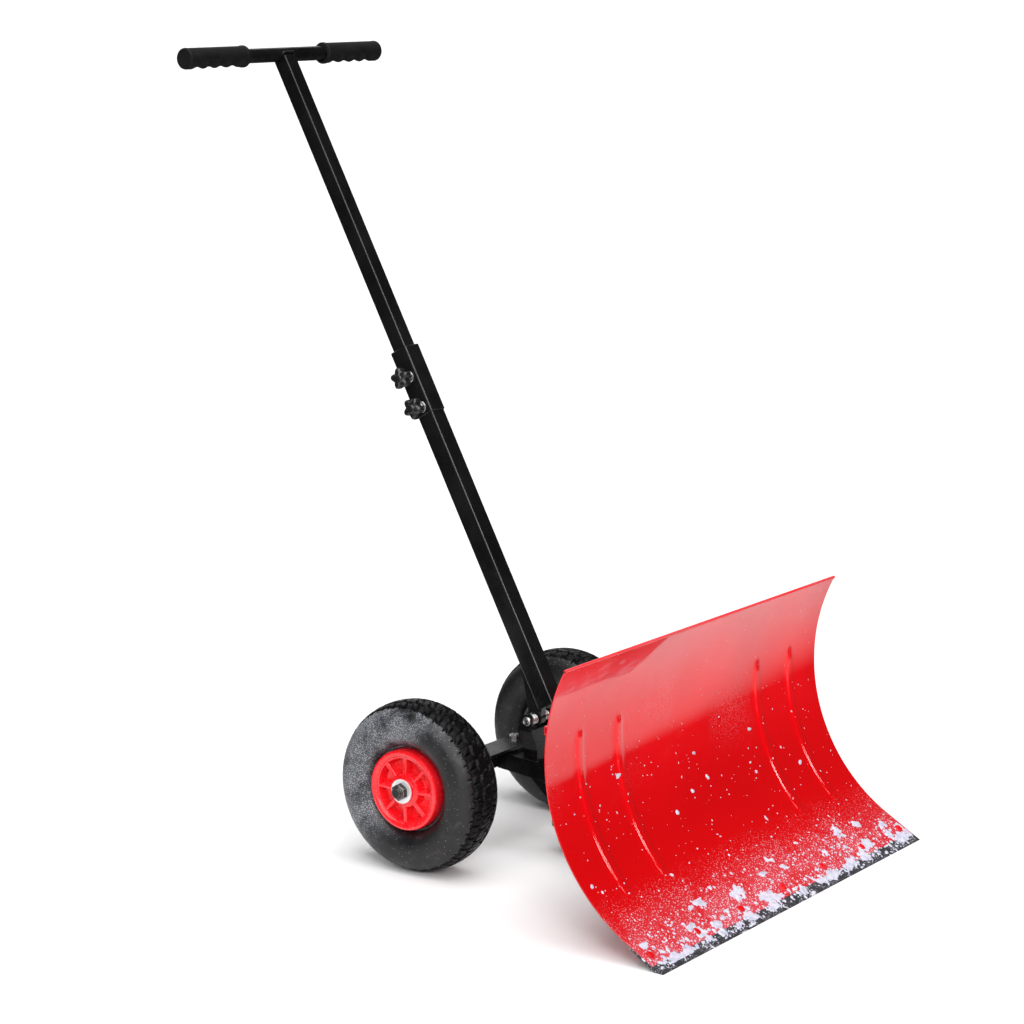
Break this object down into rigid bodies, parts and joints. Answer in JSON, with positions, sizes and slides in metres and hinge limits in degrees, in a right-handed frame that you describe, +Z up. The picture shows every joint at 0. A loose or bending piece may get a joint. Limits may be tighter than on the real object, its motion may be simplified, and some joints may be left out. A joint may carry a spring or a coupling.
{
  "type": "wheeled snow shovel",
  "caption": "Curved steel snow blade on a swivelling carrier with two rubber-tyred wheels, pushed by a telescoping, tilting T-handle.",
  "frame": {"origin": "on the ground, in the middle of the scraper's worn flat edge", "axes": "+Z up; -Y is the pushing direction, from the wheels to the blade; X runs across the blade, and the clamp knobs of the handle are on the -X side"},
  "size_m": [0.72, 0.9486, 1.1839],
  "materials": {
    "red_paint": "glossy red powder coat, wet and snowy near the scraper",
    "black_paint": "semi-gloss black powder coat",
    "zinc": "bright zinc plate",
    "dark_steel": "dark oxide steel nut",
    "red_plastic": "glossy moulded red plastic",
    "black_plastic": "glossy moulded black plastic",
    "nylon": "natural nylon",
    "liner_plastic": "dark grey nylon",
    "tyre_rubber": "matte black rubber with a block tread",
    "grip_rubber": "fine-grained matte black foam rubber",
    "scraper_rubber": "worn dark grey hard rubber"
  },
  "bodies": {
    "chassis": {"kingpin_barrel": "black_paint", "kingpin_bushes": "nylon", "thrust_washers": "nylon", "swivel_quadrant": "black_paint", "centre_beam": "black_paint", "diagonal_brace": "black_paint", "handle_post": "black_paint", "tilt_pin": "zinc", "tilt_pin_nut": "zinc", "tilt_springs": "zinc", "axle_tube": "black_paint", "axle_top_plate": "black_paint", "axle_plate_bolts": "zinc", "axle_shaft": "zinc", "axle_plugs": "black_paint", "axle_spacers": "zinc", "axle_washers": "zinc", "axle_nuts": "dark_steel"},
    "blade": {"blade_shell": "red_paint", "scraper_edge": "scraper_rubber", "scraper_bolts": "red_paint", "scraper_nuts": "zinc", "top_back_rail": "red_paint", "lower_back_rail": "red_paint", "back_straps": "red_paint", "carrier_backing_plate": "black_paint", "carrier_arms": "black_paint", "carrier_cross_plate": "black_paint", "yoke_top_plate": "black_paint", "yoke_bottom_plate": "black_paint", "kingpin_bolt": "zinc", "kingpin_washer": "zinc", "kingpin_nut": "zinc", "swivel_clamp_bolt": "zinc", "swivel_clamp_washer": "zinc"},
    "swivel_knob": {"swivel_clamp_knob": "black_plastic"},
    "left_wheel": {"left_tyre": "tyre_rubber", "left_outer_hub": "red_plastic", "left_inner_hub": "black_plastic", "left_hub_bushes": "nylon"},
    "right_wheel": {"right_tyre": "tyre_rubber", "right_outer_hub": "red_plastic", "right_inner_hub": "black_plastic", "right_hub_bushes": "nylon"},
    "lower_handle": {"handle_lug": "black_paint", "lower_tube_section": "black_paint", "handle_collar": "black_paint", "guide_bush": "liner_plastic", "collar_nuts": "zinc"},
    "upper_knob": {"upper_clamp_knob": "black_plastic"},
    "lower_knob": {"lower_clamp_knob": "black_plastic"},
    "upper_handle": {"upper_tube_section": "black_paint", "tube_glide": "liner_plastic", "t_bar": "black_paint", "left_grip": "grip_rubber", "right_grip": "grip_rubber"}
  },
  "joints": [
    {"name": "left_wheel_spin", "type": "hinge", "parent": "chassis", "child": "left_wheel", "pos_m": [-0.1907, 0.52691, 0.127], "axis": [1, 0, 0], "continuous": true},
    {"name": "right_wheel_spin", "type": "hinge", "parent": "chassis", "child": "right_wheel", "pos_m": [0.1907, 0.52691, 0.127], "axis": [1, 0, 0], "continuous": true},
    {"name": "blade_swivel", "type": "hinge", "parent": "chassis", "child": "blade", "pos_m": [0, 0.38691, 0.136], "axis": [0, 0, 1], "range_deg": [-30, 30]},
    {"name": "swivel_knob_turn", "type": "hinge", "parent": "blade", "child": "swivel_knob", "pos_m": [0, 0.33691, 0.15], "axis": [0, 0, 1], "range_deg": [0, 720]},
    {"name": "handle_tilt", "type": "hinge", "parent": "chassis", "child": "lower_handle", "pos_m": [0, 0.44941, 0.19851], "axis": [1, 0, 0], "range_deg": [-25, 25]},
    {"name": "handle_telescope", "type": "slide", "parent": "lower_handle", "child": "upper_handle", "axis": [0, 0.4679, 0.8838], "range_m": [-0.3, 0.1]},
    {"name": "upper_knob_turn", "type": "hinge", "parent": "lower_handle", "child": "upper_knob", "pos_m": [-0.03, 0.67565, 0.69461], "axis": [1, 0, 0], "range_deg": [-720, 0]},
    {"name": "lower_knob_turn", "type": "hinge", "parent": "lower_handle", "child": "lower_knob", "pos_m": [-0.03, 0.65272, 0.65131], "axis": [1, 0, 0], "range_deg": [-720, 0]}
  ]
}
